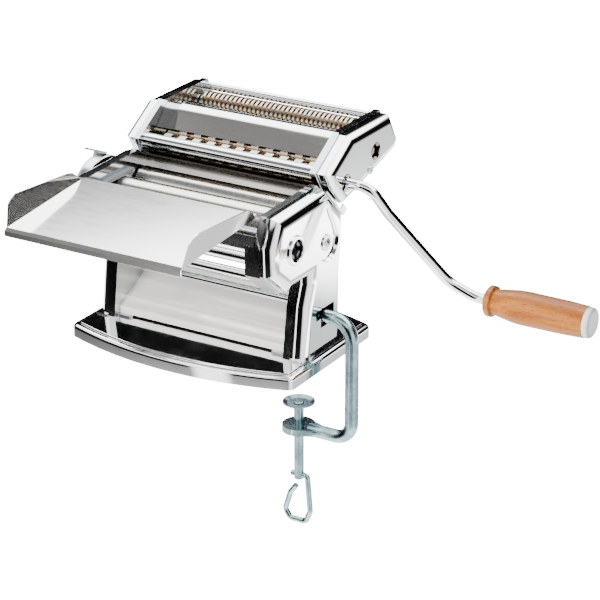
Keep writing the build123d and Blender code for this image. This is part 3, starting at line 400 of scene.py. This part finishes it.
# %% [markdown]
# ## The reflection tent
# Bright metal looks its best inside a tent, a shell of white cloth with dark strips hung
# on it. The cloth makes the plate look light and the strips draw the crisp bands that tell
# the eye it is polished. Here the tent is one sphere that only reflections see. Its cloth glows
# by height, with one set of steps for the front and one for the back. Bars and rollers that lie
# along X reflect one narrow slice of it, so height alone draws their bands. A rounded upright
# edge sweeps sideways across the tent instead. For those edges a white upright strip hangs in
# front, and a fainter one at the crank's side.

# %% The reflection tent
TENT_GLOW = 6.0  # brightness of the cloth where a ramp is at 1
bpy.ops.mesh.primitive_uv_sphere_add(segments=64, ring_count=32, radius=1.3, location=(0, 0, 0))
tent = bpy.context.view_layer.objects.active
tent.name = "reflection_tent"
bpy.ops.object.mode_set(mode="EDIT")
bpy.ops.mesh.select_all(action="SELECT")
bpy.ops.mesh.flip_normals()
bpy.ops.object.mode_set(mode="OBJECT")
cloth, tree, shader = new_finish("tent_cloth", "#000000", roughness=1.0)
shader.inputs["Specular IOR Level"].default_value = 0.0
where = put(tree, "ShaderNodeTexCoord").outputs["Object"]
unit = put(tree, "ShaderNodeVectorMath", {}, {0: where}, operation="NORMALIZE").outputs["Vector"]
axis = put(tree, "ShaderNodeSeparateXYZ", {}, {"Vector": unit})


def steps(along, stops, tint=(1.0, 1.0, 1.0)):
    """Brightness along an axis: pairs of place, from -1 to 1, and brightness, tinted in colour."""
    spread = put(tree, "ShaderNodeMapRange", {"From Min": -1.0, "From Max": 1.0}, {"Value": axis.outputs[along]})
    ramp = put(tree, "ShaderNodeValToRGB", {}, {"Fac": spread.outputs["Result"]})
    bar = ramp.color_ramp
    while len(bar.elements) < len(stops):
        bar.elements.new(0.5)
    for element, (place, bright) in zip(bar.elements, stops):
        element.position = (place + 1) / 2
        element.color = [bright * c / TENT_GLOW for c in tint] + [1.0]
    return ramp.outputs["Color"]


front_cloth = steps("Z", [
    (-1.0, 5.0), (-0.62, 4.6), (-0.50, 1.8), (-0.42, 0.9), (-0.37, 0.25), (-0.30, 0.03), (-0.05, 0.004), (0.38, 0.01),
    (0.46, 2.5), (0.60, 3.0), (0.70, 0.5), (0.78, 0.28), (0.88, 0.28), (0.95, 0.9), (1.0, 3.5)], (1.0, 1.0, 0.98))
back_cloth = steps("Z", [
    (-1.0, 4.0), (-0.60, 3.0), (-0.45, 1.1), (-0.345, 1.2), (-0.315, 6.0), (-0.26, 9.0), (-0.235, 2.0), (-0.20, 1.5),
    (-0.12, 0.8), (0.0, 0.1), (0.02, 0.005), (0.44, 0.006), (0.49, 0.03), (0.54, 0.5), (0.585, 1.2), (0.602, 5.0),
    (0.62, 7.5), (1.0, 7.5)], (0.97, 1.0, 1.0))
strips = steps("X", [(-1.0, 0.0), (-0.36, 0.0), (-0.30, 3.6), (-0.16, 3.6), (-0.10, 0.0), (0.60, 0.0), (0.80, 2.4)])
hung = put(tree, "ShaderNodeMix", {"Factor": 1.0}, {"A": front_cloth, "B": strips}, data_type="RGBA",
           blend_type="LIGHTEN")
side = put(tree, "ShaderNodeMapRange", {"From Min": -0.10, "From Max": 0.10}, {"Value": axis.outputs["Y"]},
           interpolation_type="SMOOTHSTEP")
glow = put(tree, "ShaderNodeMix", {}, {"Factor": side.outputs["Result"], "A": hung.outputs["Result"], "B": back_cloth},
           data_type="RGBA")
tree.links.new(glow.outputs["Result"], shader.inputs["Emission Color"])
shader.inputs["Emission Strength"].default_value = TENT_GLOW
tent.data.materials.append(cloth)
tent.visible_camera = False
tent.visible_diffuse = False
tent.visible_shadow = False
tent.visible_transmission = False

# %% [markdown]
# ## Camera
# The camera stands in front, to the crank's side and above, with a long lens, so that the
# rollers' ends hardly taper. Its turn is built from three plain rotations: round the
# upright axis, then the tilt down, then a trace of roll.

# %% Camera
CAMERA_PLACE = (0.89256, -1.35478, 0.71192)
bpy.ops.object.camera_add(location=CAMERA_PLACE)
camera = bpy.context.view_layer.objects.active
camera.data.lens = 138.27
camera.data.sensor_width = 36.0
aim = (Matrix.Rotation(math.radians(31.2393), 4, "Z") @ Matrix.Rotation(math.radians(67.1697), 4, "X")
       @ Matrix.Rotation(math.radians(-0.1703), 4, "Z"))
camera.matrix_world = Matrix.Translation(CAMERA_PLACE) @ aim
bpy.context.scene.camera = camera
